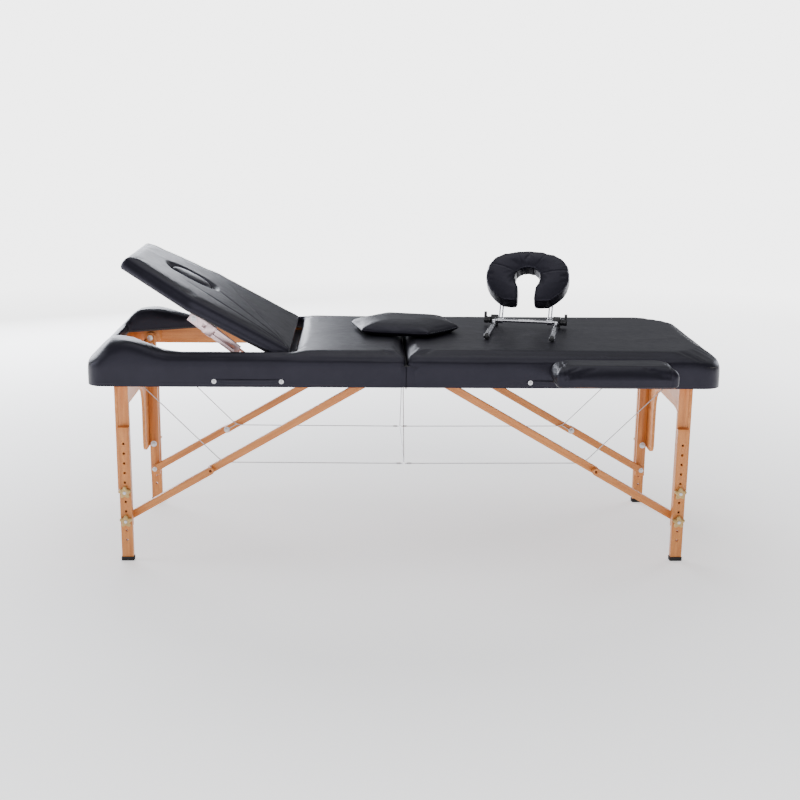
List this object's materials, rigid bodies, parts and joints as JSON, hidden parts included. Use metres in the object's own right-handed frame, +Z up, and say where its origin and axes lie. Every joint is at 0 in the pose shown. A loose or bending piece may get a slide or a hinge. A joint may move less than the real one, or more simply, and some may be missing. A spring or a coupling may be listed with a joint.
{
  "type": "portable massage table",
  "caption": "Folding padded massage table with wooden height-adjustable legs, lifting backrest, face cradle, side armrest and a loose pad.",
  "frame": {"origin": "on the floor, under the middle of the bounding box of the open table with its armrest", "axes": "+Z up, +X along the table from the head end to the foot end, -Y towards the side with the armrest and handles"},
  "size_m": [1.951, 0.8694, 0.9562],
  "materials": {
    "vinyl": "soft black vinyl with a satin, bluish sheen",
    "beech": "satin orange-tan lacquered beech",
    "plywood": "dark backing cloth on plywood",
    "rubber": "matt black rubber",
    "brass": "gold-tan moulded plastic",
    "cable": "fine stranded steel",
    "strut_metal": "rose-tinted plated steel",
    "chrome": "polished",
    "black_plastic": "satin"
  },
  "bodies": {
    "right_half": {"right_frame": "beech", "right_deck": "plywood", "right_pad": "vinyl", "right_handle": "vinyl", "cable_right_near": "cable", "cable_right_far": "cable"},
    "centre_hinge": {"centre_hinge_pin": "chrome", "cable_centre_loop": "cable"},
    "left_half": {"left_frame": "beech", "left_deck": "plywood", "middle_pad": "vinyl", "head_rim_pad": "vinyl", "left_handle": "vinyl", "cable_left_near": "cable", "cable_left_far": "cable"},
    "backrest": {"backrest_board": "plywood", "backrest_pad": "vinyl"},
    "face_plug": {"face_plug": "vinyl"},
    "strut_channels": {"strut_channel_near": "strut_metal", "strut_channel_far": "strut_metal"},
    "strut_bars": {"strut_bar_near": "strut_metal", "strut_bar_far": "strut_metal"},
    "left_leg_pair": {"upper_leg_left_near": "beech", "upper_leg_left_far": "beech", "left_end_panel": "beech"},
    "left_upper_braces": {"upper_brace_left_near": "beech", "upper_brace_left_far": "beech"},
    "left_lower_braces": {"lower_brace_left_near": "beech", "lower_brace_left_far": "beech"},
    "lower_leg_left_near": {"lower_leg_left_near": "beech", "foot_left_near": "rubber"},
    "upper_knob_left_near": {"upper_knob_left_near": "brass"},
    "lower_knob_left_near": {"lower_knob_left_near": "brass"},
    "lower_leg_left_far": {"lower_leg_left_far": "beech", "foot_left_far": "rubber"},
    "upper_knob_left_far": {"upper_knob_left_far": "brass"},
    "lower_knob_left_far": {"lower_knob_left_far": "brass"},
    "right_leg_pair": {"upper_leg_right_near": "beech", "upper_leg_right_far": "beech", "right_end_panel": "beech"},
    "right_upper_braces": {"upper_brace_right_near": "beech", "upper_brace_right_far": "beech"},
    "right_lower_braces": {"lower_brace_right_near": "beech", "lower_brace_right_far": "beech"},
    "lower_leg_right_near": {"lower_leg_right_near": "beech", "foot_right_near": "rubber"},
    "upper_knob_right_near": {"upper_knob_right_near": "brass"},
    "lower_knob_right_near": {"lower_knob_right_near": "brass"},
    "lower_leg_right_far": {"lower_leg_right_far": "beech", "foot_right_far": "rubber"},
    "upper_knob_right_far": {"upper_knob_right_far": "brass"},
    "lower_knob_right_far": {"lower_knob_right_far": "brass"},
    "cradle": {"cradle_base": "chrome", "cradle_clamp_left": "black_plastic", "cradle_clamp_right": "black_plastic"},
    "cradle_head": {"cradle_arms": "chrome", "cradle_cushion": "vinyl"},
    "armrest": {"armrest_pad": "vinyl", "armrest_board": "beech"},
    "small_pad": {"small_pad": "vinyl"}
  },
  "joints": [
    {"name": "centre_fold", "type": "hinge", "parent": "right_half", "child": "centre_hinge", "pos_m": [0, 0.07525, 0.574], "axis": [0, -1, 0], "range_deg": [0, 90], "deforming": ["cable_left_near", "cable_left_far", "cable_right_near", "cable_right_far", "cable_centre_loop"]},
    {"name": "centre_close", "type": "hinge", "parent": "centre_hinge", "child": "left_half", "pos_m": [0, 0.07525, 0.574], "axis": [0, -1, 0], "range_deg": [0, 90]},
    {"name": "backrest_tilt", "type": "hinge", "parent": "left_half", "child": "backrest", "pos_m": [-0.345, 0.07525, 0.684], "axis": [0, 1, 0], "range_deg": [-28, 22]},
    {"name": "plug_lift", "type": "slide", "parent": "backrest", "child": "face_plug", "axis": [0.4695, 0, 0.8829], "range_m": [0, 0.08]},
    {"name": "strut_swing", "type": "hinge", "parent": "backrest", "child": "strut_channels", "pos_m": [-0.65834, 0.07525, 0.76566], "axis": [0, 1, 0], "range_deg": [-5.9, 4.7]},
    {"name": "strut_extend", "type": "slide", "parent": "strut_channels", "child": "strut_bars", "axis": [0.7937, 0, -0.6083], "range_m": [-0.058, 0.045]},
    {"name": "left_legs_fold", "type": "hinge", "parent": "left_half", "child": "left_leg_pair", "pos_m": [-0.875, 0.07525, 0.609], "axis": [0, -1, 0], "range_deg": [0, 90]},
    {"name": "left_upper_brace_swing", "type": "hinge", "parent": "left_half", "child": "left_upper_braces", "pos_m": [-0.052, 0.07525, 0.609], "axis": [0, 1, 0], "range_deg": [0, 30.17]},
    {"name": "left_lower_brace_swing", "type": "hinge", "parent": "left_leg_pair", "child": "left_lower_braces", "pos_m": [-0.875, 0.07525, 0.1315], "axis": [0, -1, 0], "range_deg": [0, 59.93]},
    {"name": "leg_height_left_near", "type": "slide", "parent": "left_leg_pair", "child": "lower_leg_left_near", "axis": [0, 0, -1], "range_m": [-0.063, 0.1575]},
    {"name": "upper_knob_turn_left_near", "type": "hinge", "parent": "left_leg_pair", "child": "upper_knob_left_near", "pos_m": [-0.875, -0.24475, 0.226], "axis": [0, -1, 0], "continuous": true},
    {"name": "lower_knob_turn_left_near", "type": "hinge", "parent": "left_leg_pair", "child": "lower_knob_left_near", "pos_m": [-0.875, -0.24475, 0.1315], "axis": [0, -1, 0], "continuous": true},
    {"name": "leg_height_left_far", "type": "slide", "parent": "left_leg_pair", "child": "lower_leg_left_far", "axis": [0, 0, -1], "range_m": [-0.063, 0.1575]},
    {"name": "upper_knob_turn_left_far", "type": "hinge", "parent": "left_leg_pair", "child": "upper_knob_left_far", "pos_m": [-0.875, 0.39525, 0.226], "axis": [0, 1, 0], "continuous": true},
    {"name": "lower_knob_turn_left_far", "type": "hinge", "parent": "left_leg_pair", "child": "lower_knob_left_far", "pos_m": [-0.875, 0.39525, 0.1315], "axis": [0, 1, 0], "continuous": true},
    {"name": "right_legs_fold", "type": "hinge", "parent": "right_half", "child": "right_leg_pair", "pos_m": [0.875, 0.07525, 0.609], "axis": [0, 1, 0], "range_deg": [0, 90]},
    {"name": "right_upper_brace_swing", "type": "hinge", "parent": "right_half", "child": "right_upper_braces", "pos_m": [0.052, 0.07525, 0.609], "axis": [0, -1, 0], "range_deg": [0, 30.17]},
    {"name": "right_lower_brace_swing", "type": "hinge", "parent": "right_leg_pair", "child": "right_lower_braces", "pos_m": [0.875, 0.07525, 0.1315], "axis": [0, 1, 0], "range_deg": [0, 59.93]},
    {"name": "leg_height_right_near", "type": "slide", "parent": "right_leg_pair", "child": "lower_leg_right_near", "axis": [0, 0, -1], "range_m": [-0.063, 0.1575]},
    {"name": "upper_knob_turn_right_near", "type": "hinge", "parent": "right_leg_pair", "child": "upper_knob_right_near", "pos_m": [0.875, -0.24475, 0.226], "axis": [0, -1, 0], "continuous": true},
    {"name": "lower_knob_turn_right_near", "type": "hinge", "parent": "right_leg_pair", "child": "lower_knob_right_near", "pos_m": [0.875, -0.24475, 0.1315], "axis": [0, -1, 0], "continuous": true},
    {"name": "leg_height_right_far", "type": "slide", "parent": "right_leg_pair", "child": "lower_leg_right_far", "axis": [0, 0, -1], "range_m": [-0.063, 0.1575]},
    {"name": "upper_knob_turn_right_far", "type": "hinge", "parent": "right_leg_pair", "child": "upper_knob_right_far", "pos_m": [0.875, 0.39525, 0.226], "axis": [0, 1, 0], "continuous": true},
    {"name": "lower_knob_turn_right_far", "type": "hinge", "parent": "right_leg_pair", "child": "lower_knob_right_far", "pos_m": [0.875, 0.39525, 0.1315], "axis": [0, 1, 0], "continuous": true},
    {"name": "cradle_lift", "type": "slide", "parent": "right_half", "child": "cradle", "axis": [0, 0, 1], "range_m": [0, 0.15]},
    {"name": "cradle_tilt", "type": "hinge", "parent": "cradle", "child": "cradle_head", "pos_m": [0.416, 0.17525, 0.7043], "axis": [0.9803, -0.1977, 0], "range_deg": [-30, 35]},
    {"name": "armrest_pull", "type": "slide", "parent": "right_half", "child": "armrest", "axis": [0, -1, 0], "range_m": [0, 0.06]},
    {"name": "small_pad_lift", "type": "slide", "parent": "right_half", "child": "small_pad", "axis": [0, 0, 1], "range_m": [0, 0.15]}
  ],
  "couplings": [
    {"joint": "strut_swing", "follows": "backrest_tilt", "ratio": 0.2046},
    {"joint": "strut_extend", "follows": "backrest_tilt", "m_per_rad": 0.1158},
    {"joint": "left_legs_fold", "follows": "centre_fold", "ratio": 1},
    {"joint": "left_upper_brace_swing", "follows": "centre_fold", "ratio": 0.33469},
    {"joint": "left_lower_brace_swing", "follows": "centre_fold", "ratio": 0.66531},
    {"joint": "right_legs_fold", "follows": "centre_fold", "ratio": 1},
    {"joint": "right_upper_brace_swing", "follows": "centre_fold", "ratio": 0.33469},
    {"joint": "right_lower_brace_swing", "follows": "centre_fold", "ratio": 0.66531}
  ]
}
